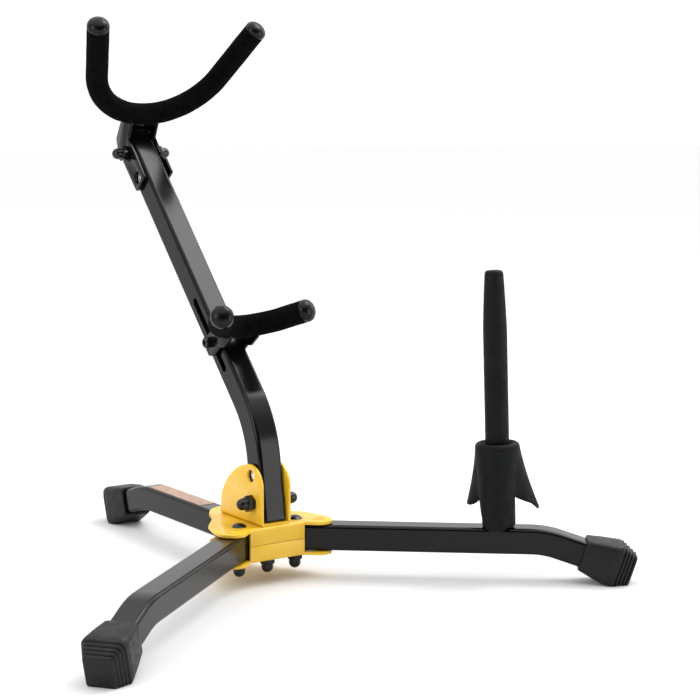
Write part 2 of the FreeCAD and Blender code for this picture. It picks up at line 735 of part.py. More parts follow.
def ear_slots(distance, rod_up, rod_front):
    """Slots in the foam where the two ears reach the rod."""
    slots = []
    for side in (LEFT, RIGHT):
        middle = side * (CHEEK_INNER + SHEET / 2)
        half = SHEET / 2 + 0.3
        slot = box((middle - half, -rod_front - ROD_R, rod_up - FOAM_R - 1),
                   (middle + half, -rod_front + 2 * FOAM_R, rod_up + FOAM_R - 0.5))
        slots.append(on_upper_tube(slot, distance))
    return slots


def yoke_place(shape):
    """Move a U drawn at the origin to the bell yoke's place."""
    base = CORNER + UPPER_AXIS * (YOKE_PIVOT_AT + YOKE_ROD_UP) - UPPER_REAR * YOKE_ROD_FRONT
    return placed(shape, base, Rotation(X_AXIS, YOKE_TILT))


def cradle_place(shape):
    """Move a U drawn at the origin to the body cradle's place."""
    base = CORNER + UPPER_AXIS * (CRADLE_AT - CRADLE_ROD_DOWN) - UPPER_REAR * CRADLE_ROD_FRONT
    return placed(shape, base, Rotation(X_AXIS, CRADLE_TILT))


def padded_rod(place, radius, spread, arm, slots):
    """Bent rod, its foam sleeve and its end caps."""
    bare = place(u_sweep(round_section(ROD_R), radius, spread, arm, ROD_IN_CAP))
    foam = place(u_sweep(round_section(FOAM_R, ROD_R + THREAD_GAP), radius, spread, arm)).cut(slots)
    return bare, foam, place(end_caps(radius, spread, arm))


def yoke_cheek(side, bare_rod):
    """Cheek of the yoke's bracket; the right one ends higher, in a finger tab that stands off."""
    bottom = YOKE_PLATE_BOTTOM if side == LEFT else TAB_TOP
    ear = YOKE_ROD_FRONT + 1.2
    outline = [(bottom, -8.5), (bottom, 8.2), (12.0, 8.7), (19.3, 4.9), (23.0, -7.6),
               (YOKE_ROD_UP + 4.8, -ear), (YOKE_ROD_UP - 5.5, -ear), (7.5, -9.2)]
    plate = bracket_plate(outline, side)
    reach = X_AXIS * FAR
    if side == LEFT:
        window = Z_AXIS * -UPPER_BUTTON_DOWN
        plate = plate.cut(rod(BUTTON_WINDOW_R, window - reach, window))
    else:
        plate = plate.fuse(finger_tab()).removeSplitter()
    plate = on_upper_tube(plate.cut(rod(HOLE_R, -reach, reach)), YOKE_PIVOT_AT)
    return plate.cut(bare_rod)


def finger_tab():
    """Joggled tab below the right cheek, for pulling the bracket off its button."""
    inner = CHEEK_INNER
    outer = CHEEK_INNER + TAB_STAND_OFF
    turn_z = TAB_TOP - TAB_JOGGLE
    outline = [(inner, TAB_TOP + 1), (inner, TAB_TOP), (outer, turn_z), (outer, TAB_BOTTOM),
               (outer + SHEET, TAB_BOTTOM), (outer + SHEET, turn_z + SHEET / 2),
               (inner + SHEET, TAB_TOP + SHEET / 2), (inner + SHEET, TAB_TOP + 1)]
    points = [Vector(x, -TAB_HALF, z) for x, z in outline]
    return prism(points, Y_AXIS * 2 * TAB_HALF)


def yoke_web():
    """Strap that joins the two cheeks in front of the tube's top edge."""
    front = TUBE / 2 + WEB_GAP
    strap = box((-CHEEK_INNER, -front - SHEET, WEB_FROM), (CHEEK_INNER, -front, WEB_TO))
    return on_upper_tube(strap, YOKE_PIVOT_AT)


def cradle_cheek(side, bare_rod):
    """Clamp plate of the cradle."""
    ear = CRADLE_ROD_FRONT + 1.6
    outline = [(5.0, 7.0), (-6.3, 7.3), (-10.8, 1.6), (-11.2, -9.6), (-14.2, -12.9), (-15.3, -ear),
               (-0.5, -ear), (5.0, -9.5)]
    plate = bracket_plate(outline, side)
    reach = X_AXIS * FAR
    plate = on_upper_tube(plate.cut(rod(CLAMP_R + 0.2, -reach, reach)), CRADLE_AT)
    return plate.cut(bare_rod)


def cradle_bolt():
    """Clamp bolt with a socket head on the left."""
    shank = rod(CLAMP_R, X_AXIS * -CHEEK_OUTER, X_AXIS * (CHEEK_OUTER + 6.0))
    head = Part.makeCylinder(CLAMP_HEAD_R, CLAMP_HEAD)
    rim = [edge for edge in head.Edges if edge.BoundBox.ZMin > CLAMP_HEAD / 2]
    socket = hexagon(CLAMP_SOCKET_FLATS, CLAMP_HEAD)
    socket = placed(socket, Z_AXIS * (CLAMP_HEAD - CLAMP_SOCKET_DEPTH), Rotation())
    head = along(-X_AXIS, head.makeFillet(0.5, rim).cut(socket), X_AXIS * -CHEEK_OUTER)
    return on_upper_tube(shank.fuse(head).removeSplitter(), CRADLE_AT)


def cradle_nut():
    nut = hexagon(CLAMP_NUT_FLATS, 5.0).cut(Part.makeCylinder(CLAMP_R + THREAD_GAP, FAR))
    return on_upper_tube(along(X_AXIS, nut, X_AXIS * CHEEK_OUTER), CRADLE_AT)


def cradle_washers():
    """Washers between the tube and the plates."""
    return on_upper_tube(side_washers(CLAMP_WASHER_R, CLAMP_R + THREAD_GAP), CRADLE_AT)


# ---- assembly ----

def base_parts():
    return {
        "hub_top_plate": hub_top_plate(),
        "hub_bottom_plate": hub_bottom_plate(),
        "clevis": clevis(),
        "centre_bolt": hub_bolt(0, WEB_TOP, MIDDLE_HEAD_R, MIDDLE_HEAD_HEIGHT),
        "leg_pivot_bolts": joined([hub_bolt(side * LEG_PIVOT_X, TOP_PLATE_TOP, LEG_HEAD_R, LEG_HEAD_HEIGHT)
                                   for side in (LEFT, RIGHT)]),
        "hub_nuts": hub_nuts(),
        "leg_washers": hub_washers(),
        "leg_bushes": hub_bushes(),
        "clevis_stud": placed(side_stud(CHEEK_OUTER + BOSS_HEIGHT), PIVOT, Rotation()),
        "clevis_nuts": placed(side_nuts(CHEEK_OUTER + BOSS_HEIGHT), PIVOT, Rotation()),
        "rear_leg": on_rear_leg(leg_tube(REAR_LEG_FRONT, REAR_LEG_CORNER)),
        "rear_foot": on_rear_leg(foot(REAR_LEG_CORNER)),
        "label_band": label_band(),
    }


def front_leg_parts():
    right_tube = on_right_leg(leg_tube(-LEG_TAIL, LEG_CORNER))
    right_foot = on_right_leg(foot(LEG_CORNER))
    stud_hole = at_peg(rod(THREAD_R + THREAD_GAP, Z_AXIS * LEG_Z, Z_AXIS * (LEG_TOP + 1)))
    return {
        "left_leg": mirrored(right_tube),
        "left_foot": mirrored(right_foot),
        "right_leg": right_tube.cut(stud_hole),
        "right_foot": right_foot,
        "peg_stud": peg_stud(),
        "peg_stud_nut": peg_stud_nut(),
        "peg_core": peg_core(),
        "peg_shaft": peg_shaft(),
        "peg_skirt": peg_skirt(),
    }


def upright_parts():
    upper_button_at = YOKE_PIVOT_AT - UPPER_BUTTON_DOWN
    return {
        "upright_tube": upright_tube(),
        "upright_bush": on_lower_tube(pivot_bush()),
        "clevis_washers": on_lower_tube(side_washers(WASHER_R, THREAD_R + BEARING_GAP)),
        "top_plug": top_plug(),
        "yoke_bush": on_upper_tube(pivot_bush(), YOKE_PIVOT_AT),
        "yoke_washers": on_upper_tube(side_washers(WASHER_R, THREAD_R + BEARING_GAP), YOKE_PIVOT_AT),
        "lower_snap_button": on_lower_tube(snap_button(), LOWER_BUTTON_UP),
        "lower_leaf_spring": on_lower_tube(leaf_spring(), LOWER_BUTTON_UP),
        "upper_snap_button": on_upper_tube(snap_button(), upper_button_at),
        "upper_leaf_spring": on_upper_tube(leaf_spring(), upper_button_at),
    }


def yoke_parts():
    slots = ear_slots(YOKE_PIVOT_AT, YOKE_ROD_UP, YOKE_ROD_FRONT)
    bare, foam, caps = padded_rod(yoke_place, YOKE_R, YOKE_SPREAD, YOKE_ARM, slots)
    return {
        "yoke_left_cheek": yoke_cheek(LEFT, bare),
        "yoke_right_cheek": yoke_cheek(RIGHT, bare),
        "yoke_web": yoke_web(),
        "yoke_rod": bare,
        "yoke_foam": foam,
        "yoke_caps": caps,
        "yoke_stud": on_upper_tube(side_stud(CHEEK_OUTER), YOKE_PIVOT_AT),
        "yoke_nuts": on_upper_tube(side_nuts(CHEEK_OUTER), YOKE_PIVOT_AT),
    }


def cradle_parts():
    slots = ear_slots(CRADLE_AT, -CRADLE_ROD_DOWN, CRADLE_ROD_FRONT)
    bare, foam, caps = padded_rod(cradle_place, CRADLE_R, CRADLE_SPREAD, CRADLE_ARM, slots)
    return {
        "cradle_left_cheek": cradle_cheek(LEFT, bare),
        "cradle_right_cheek": cradle_cheek(RIGHT, bare),
        "cradle_rod": bare,
        "cradle_foam": foam,
        "cradle_caps": caps,
        "cradle_bolt": cradle_bolt(),
        "cradle_nut": cradle_nut(),
        "cradle_washers": cradle_washers(),
    }


os.makedirs("parts", exist_ok=True)
for parts in (base_parts(), front_leg_parts(), upright_parts(), yoke_parts(), cradle_parts()):
    for name, shape in parts.items():
        shape.exportStep("parts/" + name + ".step")
        bounds = shape.BoundBox
        print(name, shape.isValid(), len(shape.Solids), "%.1f mm3" % shape.Volume,
              "x %.1f %.1f y %.1f %.1f z %.1f %.1f" % (bounds.XMin, bounds.XMax, bounds.YMin,
                                                      bounds.YMax, bounds.ZMin, bounds.ZMax))
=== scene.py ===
"""Looks of the folding saxophone stand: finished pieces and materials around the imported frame.

Camera, light and material sizes are in metres. Pieces are drawn in millimetres and scaled by MM.
"""
import bmesh
import bpy
import json
import math
from mathutils import Matrix, Vector, noise


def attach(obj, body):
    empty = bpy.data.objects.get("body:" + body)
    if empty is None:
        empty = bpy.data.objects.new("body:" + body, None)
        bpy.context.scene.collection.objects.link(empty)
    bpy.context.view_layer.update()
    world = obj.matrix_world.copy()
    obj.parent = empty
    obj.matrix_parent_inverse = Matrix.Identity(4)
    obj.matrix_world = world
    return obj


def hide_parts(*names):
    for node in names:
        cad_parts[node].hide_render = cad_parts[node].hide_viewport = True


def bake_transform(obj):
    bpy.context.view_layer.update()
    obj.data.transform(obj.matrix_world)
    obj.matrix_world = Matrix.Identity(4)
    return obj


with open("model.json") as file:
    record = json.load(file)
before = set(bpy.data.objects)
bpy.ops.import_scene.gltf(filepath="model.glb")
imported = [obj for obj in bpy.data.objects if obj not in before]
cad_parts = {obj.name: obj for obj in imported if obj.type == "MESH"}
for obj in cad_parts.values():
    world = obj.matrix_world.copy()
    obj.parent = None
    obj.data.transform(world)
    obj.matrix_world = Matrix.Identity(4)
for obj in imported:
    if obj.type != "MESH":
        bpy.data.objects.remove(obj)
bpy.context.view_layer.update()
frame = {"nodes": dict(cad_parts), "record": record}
MM = 0.001

# ---- stage: metres and watts ----

# Camera, as the photograph was taken; its sensor and focal length are in millimetres
CAMERA_AZIMUTH = math.radians(-34.95)
CAMERA_ELEVATION = math.radians(7.89)
CAMERA_ROLL = math.radians(0.25)
CAMERA_DISTANCE = 1.2328
CAMERA_ACROSS = 0.0618
CAMERA_HEIGHT = 0.1580
CAMERA_FORWARD = 0.010
SENSOR = 36.0
FOCAL = 93.4

# Surrounding light: strengths, and the range of directions over which the walls darken and the ceiling starts
WALL_LIGHT = 1.1
FRONT_LIGHT = 0.02
CEILING_LIGHT = 1.9
DARK_SIDE = (0.0, 0.6)
CEILING_EDGE = (0.58, 0.80)

FLOOR_GREY = 0.74
FLOOR_REACH = 9.0
FLOOR_DROP = 0.0002

# Softboxes: where each one is, what it points at, its two sides and its power
SOFTBOXES = {
    "top_softbox": {"place": (1.05, -0.15, 1.92), "target": (0, 0.12, 0.22), "sides": (0.95, 0.95),
                    "power": 18},
    "front_softbox": {"place": (0.95, -1.30, 0.28), "target": (0, 0, 0.15), "sides": (0.7, 0.8), "power": 6},
    "left_softbox": {"place": (-1.6, -0.3, 0.8), "target": (0, 0, 0.15), "sides": (0.9, 0.9), "power": 11},
    "right_softbox": {"place": (1.5, 0.1, 0.9), "target": (0, 0, 0.15), "sides": (0.9, 0.9), "power": 3},
}

# ---- driving dimensions: millimetres and degrees ----

# Tubes, as in the CAD
TUBE = 18.0
TUBE_CORNER = 2.5
LEG_Z = 28.5
LEG_TOP = LEG_Z + TUBE / 2
LEG_PIVOT_X = 22.5
LEG_ANGLE = 51.1
LEG_CORNER = 172.0
REAR_LEG_CORNER = 163.0
LEG_SLOPE = 18.0
PIVOT_Z = 55.0
LOWER_LEAN = 8.2
UPPER_LEAN = 42.8
PIVOT_TO_CORNER = 51.3

# Feet: a socket at the rim, a taper that widens, and ribs that step down to the end
RIM_FROM_CORNER = 26.8
FOOT_RIM = 22.2
FOOT_RIM_CORNER = 3.2
FOOT_TAPER = 23.7
FOOT_TAPER_GAP = 0.5
FOOT_TAPER_STEPS = 8
FOOT_SWELL = 0.35
FOOT_TALL = 30.5
FOOT_WIDE = 28.0
FOOT_CORNER = 4.6
FOOT_RIBS = 5
FOOT_RIB = 2.46
FOOT_RIB_STEP = 2.2
FOOT_RIB_CORNER_STEP = 0.5
FOOT_GROOVE = 0.9
FOOT_END_CORNER = 3.0
# (distance, how much narrower) along the rim, along each rib and at the end face
FOOT_RIM_ROUND = ((0.0, 1.2), (0.25, 0.4), (0.8, 0.0))
FOOT_RIB_CREST = ((0.25, 2 * FOOT_GROOVE), (0.5, 0.7), (0.85, 0.15), (1.3, 0.0), (1.75, 0.2), (2.1, 0.8))
FOOT_END_ROUND = ((-0.15, 1.2), (0.0, 2.2))
# (distance from the rim, room round the tube) from the socket's floor to its mouth
FOOT_SOCKET = ((28.2, 0.1), (0.5, 0.1), (0.1, 0.8))

# Instrument peg: where it stands along the right leg, how it leans, and the radius of its metal core
PEG_ALONG = 140.5
PEG_LEAN = 2.0
PEG_LEAN_TOWARDS = 145.0
PEG_CORE = 5.05

# Skirt of the peg: rounded shoulder, valleys between its petals, and inside it the column round the core
SKIRT_TOP = 96.0
SKIRT_TOP_R = 15.3
SKIRT_SHOULDER = 3.0
SKIRT_SHOULDER_STEPS = 4
SKIRT_RECESS = 4.5
SKIRT_WALL = 2.0
SKIRT_ROWS = 20
SKIRT_RIM_IN = 0.3
SKIRT_RIM_UP = 0.35
SKIRT_INSIDE = 22.0
SKIRT_INSIDE_ROWS = 7
SKIRT_STEPS = 180
VALLEY_Z = 60.0
VALLEY_R = 14.3
VALLEY_TAPER = 1.5
# (radius, depth below the skirt's top) from the recess's floor out to the lip
SKIRT_RECESS_WALL = ((8.4, SKIRT_RECESS), (9.4, 4.0), (10.6, 1.3), (11.6, 0.3))
COLUMN_R = 11.5
COLUMN_GAP = 0.05
COLUMN_START = 1.0
# (how much narrower, height) down the column to its rounded foot
COLUMN_OUTLINE = ((0.0, VALLEY_Z), (0.0, 45.0), (0.0, 39.4), (0.4, 38.4), (1.2, 38.0))
COLUMN_FOOT = 38.0

# Petals: angle, height and radius of the tip, and how full the petal is
FRONT_PETAL = (-137.0, 36.8, 16.5, 3.2)
RIGHT_PETAL = (-17.0, 46.6, 30.5, 0.7)
REAR_PETAL = (103.0, 51.0, 25.5, 3.0)
PETALS = (FRONT_PETAL, RIGHT_PETAL, REAR_PETAL)
PETAL_HALF_ANGLE = 60.0
PETAL_BLUNT_ANGLE = 4.0
PETAL_SHARPNESS = 0.9
PETAL_FLARE = 0.28

# Rubber sleeve of the peg: straight, then a taper to a rounded tip
SLEEVE_R = 8.15
SLEEVE_FOOT_R = 7.7
SLEEVE_FOOT_ROUND = 0.6
SLEEVE_GAP = 0.05
SLEEVE_FIRST_ROW = 100
SLEEVE_ROW = 15
SLEEVE_TAPER_FROM = 172
SLEEVE_TAPER = 38.5
SLEEVE_TAPER_STEPS = 8
SLEEVE_THINNER = 1.75
SLEEVE_TAPER_POWER = 1.3
SLEEVE_BORE_TOP = 200.25
SLEEVE_AXIS = 0.02
SLEEVE_STEPS = 64
# (radius, height) round the tip
SLEEVE_TIP = ((6.2, 211.6), (5.8, 212.5), (5.1, 213.05), (4.1, 213.3), (2.2, 213.4), (SLEEVE_AXIS, 213.45))

# Foam sleeves and their end caps
ROD_R = 4.05
FOAM_R = 8.0
FOAM_SKIN = 0.08
FOAM_STEPS = 72
FOAM_ROW = 1.0
FOAM_BORE_ROW = 4.0
FOAM_FIRST_ROW = 1.4
FOAM_BORE_START = 0.6
# (distance from the end, radius) of the foam's rounded end
FOAM_END = ((0.0, 6.4), (0.05, 7.1), (0.3, 7.6), (0.8, 7.85))
# (height, size) of the foam's swells and pores
FOAM_RELIEF = ((0.16, 11), (0.07, 2.6), (0.045, 0.9))
CAP_HOLE_R = 4.1
CAP_HOLE_DEPTH = 4.2
CAP_SEAT = 0.02
# (radius, height) round the cap's lower edge
CAP_EDGE = ((7.5, CAP_SEAT), (7.85, 0.15), (8.0, 0.5))
CAP_RIM = 1.2
CAP_DOME = 5.7
CAP_DOME_POWER = 0.95
CAP_DOME_STEPS = 10
CAP_STEPS = 64

# Slots in the foam for the ears of the brackets
EAR_MIDDLE = 10.8
EAR_SLOT = 0.95
EAR_FRONT = 1.7
EAR_LOW = 10.2
EAR_HIGH = 5.0

# Metal pieces: bevel on the sharp edges of each refined CAD node, by body
REFINED = {
    "base": {"hub_top_plate": 0.4, "hub_bottom_plate": 0.4, "clevis": 0.45, "hub_nuts": 0.25,
             "clevis_nuts": 0.25},
    "upright": {"top_plug": 0.4},
    "bell_yoke": {"yoke_left_cheek": 0.4, "yoke_right_cheek": 0.4, "yoke_web": 0.3, "yoke_nuts": 0.25},
    "body_cradle": {"cradle_left_cheek": 0.4, "cradle_right_cheek": 0.4, "cradle_bolt": 0.3,
                    "cradle_nut": 0.2},
}
WASHER_BEVEL = 0.2
WASHER_CLEARANCE = 0.04
SPRING_BEVEL = 0.08
MERGE_DISTANCE = 0.002
FLAT_ANGLE = 0.6
SHARP_ANGLE = 32.0
CORNER_STEPS = 6

# ---- materials: metres ----

COAT_ROUGHNESS = 0.12
NOISE_SPREAD = (0.35, 0.65)


class Look:
    """One procedural material: a principled shader with room for colour, roughness and bump detail."""

    def __init__(self, name, colour, roughness, specular=0.5, metallic=0.0, coat=0.0):
        self.material = bpy.data.materials.new(name)
        self.material.use_nodes = True
        self.tree = self.material.node_tree
        self.shader = self.tree.nodes["Principled BSDF"]
        values = {"Base Color": (*colour, 1), "Roughness": roughness, "Specular IOR Level": specular,
                  "Metallic": metallic, "Coat Weight": coat, "Coat Roughness": COAT_ROUGHNESS}
        for key, value in values.items():
            self.shader.inputs[key].default_value = value
        self.place = self.node("ShaderNodeTexCoord").outputs["Object"]
        self.normal = None

    def node(self, kind, **settings):
        made = self.tree.nodes.new(kind)
        for key, value in settings.items():
            setattr(made, key, value)
        return made

    def link(self, source, target):
        self.tree.links.new(source, target)

    def noise(self, size, detail=3.0, stretch=(1, 1, 1), roughness=0.5):
        """Noise whose features are about size across."""
        mapping = self.node("ShaderNodeMapping")
        mapping.inputs["Scale"].default_value = stretch
        self.link(self.place, mapping.inputs["Vector"])
        made = self.node("ShaderNodeTexNoise")
        made.inputs["Scale"].default_value = 1.0 / size
        made.inputs["Detail"].default_value = detail
        made.inputs["Roughness"].default_value = roughness
        self.link(mapping.outputs["Vector"], made.inputs["Vector"])
        return made.outputs["Fac"]

    def cells(self, size):
        """Cells that are about size across."""
        made = self.node("ShaderNodeTexVoronoi")
        made.inputs["Scale"].default_value = 1.0 / size
        self.link(self.place, made.inputs["Vector"])
        return made.outputs["Distance"]

    def ramp(self, source, low, high):
        """Noise spread out from low to high."""
        made = self.node("ShaderNodeMapRange")
        for key, value in zip(("From Min", "From Max", "To Min", "To Max"), (*NOISE_SPREAD, low, high)):
            made.inputs[key].default_value = value
        self.link(source, made.inputs["Value"])
        return made.outputs["Result"]

    def mix_colour(self, source, low, high):
        """Colour that goes from low to high with the noise."""
        made = self.node("ShaderNodeMix", data_type="RGBA")
        made.inputs["A"].default_value = (*low, 1)
        made.inputs["B"].default_value = (*high, 1)
        self.link(self.ramp(source, 0.0, 1.0), made.inputs["Factor"])
        self.link(made.outputs["Result"], self.shader.inputs["Base Color"])

    def vary_roughness(self, source, low, high):
        self.link(self.ramp(source, low, high), self.shader.inputs["Roughness"])

    def bump(self, source, height):
        """Add a bump layer of a real height."""
        made = self.node("ShaderNodeBump")
        made.inputs["Strength"].default_value = 1.0
        made.inputs["Distance"].default_value = height
        self.link(source, made.inputs["Height"])
        if self.normal:
            self.link(self.normal, made.inputs["Normal"])
        self.normal = made.outputs["Normal"]
        self.link(self.normal, self.shader.inputs["Normal"])


def yellow_paint():
    look = Look("yellow_paint", colour=(0.78, 0.45, 0.020), roughness=0.34, coat=0.1)
    look.mix_colour(look.noise(size=0.015), low=(0.75, 0.445, 0.014), high=(0.80, 0.490, 0.022))
    look.vary_roughness(look.noise(size=0.012, detail=5), low=0.30, high=0.42)
    look.bump(look.noise(size=0.0012, detail=2), height=0.000012)
    return look.material


def black_hardware():
    look = Look("black_hardware", colour=(0.003, 0.003, 0.0032), roughness=0.22, specular=0.35, coat=0.1)
    look.vary_roughness(look.noise(size=0.004, detail=5), low=0.17, high=0.28)
    look.bump(look.noise(size=0.0016, detail=3), height=0.00002)
    return look.material


def plain_steel():
    brushed = (0.05, 1, 1)
    look = Look("plain_steel", colour=(0.55, 0.55, 0.57), roughness=0.3, metallic=1.0)
    look.vary_roughness(look.noise(size=0.001, stretch=brushed), low=0.2, high=0.42)
    look.bump(look.noise(size=0.0005, stretch=brushed), height=0.000008)
    return look.material


def black_nylon():
    look = Look("black_nylon", colour=(0.008, 0.008, 0.008), roughness=0.5)
    look.vary_roughness(look.noise(size=0.003, detail=4), low=0.42, high=0.6)
    look.bump(look.noise(size=0.0006), height=0.00001)
    return look.material


def foot_rubber():
    look = Look("foot_rubber", colour=(0.006, 0.006, 0.0062), roughness=0.48, specular=0.28)
    look.mix_colour(look.noise(size=0.010, detail=5), low=(0.0045, 0.0045, 0.0047),
                    high=(0.0075, 0.0075, 0.0078))
    look.vary_roughness(look.noise(size=0.005, detail=6), low=0.40, high=0.58)
    look.bump(look.noise(size=0.0009, detail=4), height=0.00003)
    look.bump(look.noise(size=0.006), height=0.00005)
    return look.material


def peg_rubber():
    look = Look("peg_rubber", colour=(0.0033, 0.0046, 0.0043), roughness=0.58, specular=0.16)
    look.mix_colour(look.noise(size=0.012, detail=5), low=(0.0026, 0.0036, 0.0034),
                    high=(0.0040, 0.0054, 0.0050))
    look.vary_roughness(look.noise(size=0.006, detail=6), low=0.55, high=0.75)
    look.bump(look.noise(size=0.0008, detail=4), height=0.00003)
    look.bump(look.noise(size=0.008), height=0.00008)
    return look.material


def foam():
    look = Look("foam", colour=(0.0035, 0.0035, 0.0035), roughness=1.0, specular=0.05)
    look.mix_colour(look.noise(size=0.004, detail=6), low=(0.0014, 0.0014, 0.0015),
                    high=(0.0034, 0.0033, 0.0033))
    look.bump(look.noise(size=0.0011, detail=5, roughness=0.7), height=0.00016)
    look.bump(look.cells(size=0.0016), height=0.00010)
    return look.material


def gloss_cap():
    look = Look("gloss_cap", colour=(0.0015, 0.0015, 0.0015), roughness=0.28, specular=0.22)
    look.vary_roughness(look.noise(size=0.006, detail=4), low=0.24, high=0.31)
    look.bump(look.noise(size=0.003), height=0.00002)
    return look.material


def button_chrome():
    look = Look("button_chrome", colour=(0.86, 0.86, 0.88), roughness=0.08, metallic=1.0)
    look.vary_roughness(look.noise(size=0.001, detail=4), low=0.05, high=0.14)
    return look.material


def label_print():
    look = Look("label_print", colour=(0.52, 0.27, 0.17), roughness=0.4)
    look.mix_colour(look.noise(size=0.004, detail=5), low=(0.30, 0.17, 0.11), high=(0.42, 0.26, 0.18))
    look.bump(look.noise(size=0.0008), height=0.00001)
    return look.material


def black_powder_coat():
    look = Look("black_powder_coat", colour=(0.006, 0.0057, 0.0057), roughness=0.24, specular=0.22)
    look.mix_colour(look.noise(size=0.020), low=(0.0026, 0.0024, 0.0024), high=(0.0042, 0.0039, 0.0039))
    look.vary_roughness(look.noise(size=0.030, detail=5), low=0.13, high=0.19)
    look.bump(look.noise(size=0.0011, detail=2), height=0.000010)
    look.bump(look.noise(size=0.006, detail=2), height=0.000015)
    return look.material


MAKERS = (yellow_paint, black_hardware, plain_steel, black_nylon, foot_rubber, peg_rubber, foam, gloss_cap,
          button_chrome, label_print, black_powder_coat)
LOOKS = {make.__name__: make() for make in MAKERS}
NODE_SLOT = {part["node"]: part["material_slot"] for part in frame["record"]["subparts"]}


def dress_frame():
    """Give every CAD node its procedural material."""
    for node, obj in frame["nodes"].items():
        for slot in obj.material_slots:
            slot.material = LOOKS[NODE_SLOT[node]]


# ---- mesh helpers ----

def between(low, high, share):
    return low + (high - low) * share


def place_mesh(name, mesh, look):
    """Put a mesh in the scene in one look."""
    mesh.materials.clear()
    mesh.materials.append(LOOKS[look])
    piece = bpy.data.objects.new(name, mesh)
    bpy.context.scene.collection.objects.link(piece)
    return piece


def add_piece(name, mesh, body, look, node):
    """Put a finished mesh in the scene, riding on its body and standing for its CAD node."""
    piece = place_mesh(name, mesh, look)
    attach(piece, body)
    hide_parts(node)
    return piece


def finish_mesh(name, edit, smooth_angle):
    """Turn edited geometry into a mesh, shaded smooth below an angle."""
    bmesh.ops.recalc_face_normals(edit, faces=edit.faces)
    limit = math.radians(smooth_angle)
    for face in edit.faces:
        face.smooth = True
    for edge in edit.edges:
        edge.smooth = not (edge.is_manifold and edge.calc_face_angle(0) > limit)
    mesh = bpy.data.meshes.new(name)
    edit.to_mesh(mesh)
    edit.free()
    return mesh


def loft(edit, rings, closed=False):
    """Join rings of points with quads; open lofts get a flat face on each end."""
    made = [[edit.verts.new(point) for point in ring] for ring in rings]
    count = len(rings[0])
    pairs = list(zip(made, made[1:]))
    if closed:
        pairs.append((made[-1], made[0]))
    for lower, upper in pairs:
        for index in range(count):
            following = (index + 1) % count
            edit.faces.new((lower[index], lower[following], upper[following], upper[index]))
    if not closed:
        edit.faces.new(made[0][::-1])
        edit.faces.new(made[-1])


def round_angles(steps):
    """Angles once round, in radians."""
    return [2 * math.pi * step / steps for step in range(steps)]


def rounded_ring(width, height, radius):
    """Points of a rounded rectangle in the YZ plane, in step with every other such ring."""
    points = []
    for quarter in range(4):
        side_y = 1 if quarter in (0, 3) else -1
        side_z = 1 if quarter in (0, 1) else -1
        for step in range(CORNER_STEPS + 1):
            angle = math.radians(90 * quarter) + math.radians(90) * step / CORNER_STEPS
            points.append(Vector((0, side_y * (width / 2 - radius) + radius * math.cos(angle),
                                  side_z * (height / 2 - radius) + radius * math.sin(angle))))
    return points


def along_x(turn_degrees, offset=(0, 0, 0)):
    """Turn about Z, then move, for pieces drawn along +X; gives metres."""
    turn = Matrix.Rotation(math.radians(turn_degrees), 4, "Z")
    return Matrix.Scale(MM, 4) @ Matrix.Translation(offset) @ turn


# ---- feet ----

# Each foot's CAD node, with its body, its leg's bend and its leg's place
FEET = {
    "rear_foot": ("base", REAR_LEG_CORNER, along_x(90)),
    "left_foot": ("left_leg", LEG_CORNER, along_x(90 - LEG_ANGLE + 180, (-LEG_PIVOT_X, 0, 0))),
    "right_foot": ("right_leg", LEG_CORNER, along_x(LEG_ANGLE - 90, (LEG_PIVOT_X, 0, 0))),
}


def foot_sections():
    """(distance, width, height, corner) down the outside of a foot, rounded rim to ribbed end."""
    sections = [(distance, FOOT_RIM - narrower, FOOT_RIM - narrower, FOOT_RIM_CORNER)
                for distance, narrower in FOOT_RIM_ROUND]
    taper_from = FOOT_RIM_ROUND[-1][0]
    taper_to = FOOT_TAPER - FOOT_TAPER_GAP
    for step in range(1, FOOT_TAPER_STEPS + 1):
        share = step / FOOT_TAPER_STEPS
        swell = FOOT_SWELL * math.sin(math.pi * share)
        sections.append((between(taper_from, taper_to, share), between(FOOT_RIM, FOOT_WIDE, share) + swell,
                         between(FOOT_RIM, FOOT_TALL, share) + swell,
                         between(FOOT_RIM_CORNER, FOOT_CORNER, share)))
    for rib in range(FOOT_RIBS):
        less = rib * FOOT_RIB_STEP
        start = FOOT_TAPER + rib * FOOT_RIB
        crest = FOOT_RIB_CREST if rib else FOOT_RIB_CREST[1:]
        for distance, narrower in crest:
            sections.append((start + distance, FOOT_WIDE - less - narrower, FOOT_TALL - less - narrower,
                             FOOT_CORNER - FOOT_RIB_CORNER_STEP * rib))
    end = FOOT_TAPER + FOOT_RIBS * FOOT_RIB
    less = (FOOT_RIBS - 1) * FOOT_RIB_STEP
    for distance, narrower in FOOT_END_ROUND:
        sections.append((end + distance, FOOT_WIDE - less - narrower, FOOT_TALL - less - narrower,
                         FOOT_END_CORNER))
    return sections


def foot_mesh(name, corner, place):
    """Closed foot with its socket, flattened where it stands on the floor."""
    socket = [(distance, TUBE + room, TUBE + room, TUBE_CORNER) for distance, room in FOOT_SOCKET]
    slope = Matrix.Rotation(math.radians(LEG_SLOPE), 4, "Y")
    rim = Matrix.Translation((corner, 0, LEG_Z)) @ slope @ Matrix.Translation((RIM_FROM_CORNER, 0, 0))
    rings = []
    for distance, width, height, radius in socket + foot_sections():
        move = place @ rim @ Matrix.Translation((distance, 0, 0))
        ring = [move @ point for point in rounded_ring(width, height, radius)]
        rings.append([Vector((p.x, p.y, max(p.z, 0.0))) for p in ring])
    edit = bmesh.new()
    loft(edit, rings)
    return finish_mesh(name, edit, smooth_angle=40)


def add_feet():
    for node, (body, corner, place) in FEET.items():
        name = node + "_skin"
        add_piece(name, foot_mesh(name, corner, place), body, "foot_rubber", node)


# ---- instrument peg ----

def off_petal(angle, petal):
    """Degrees between an angle and the middle of a petal."""
    return abs((angle - petal[0] + 180) % 360 - 180)


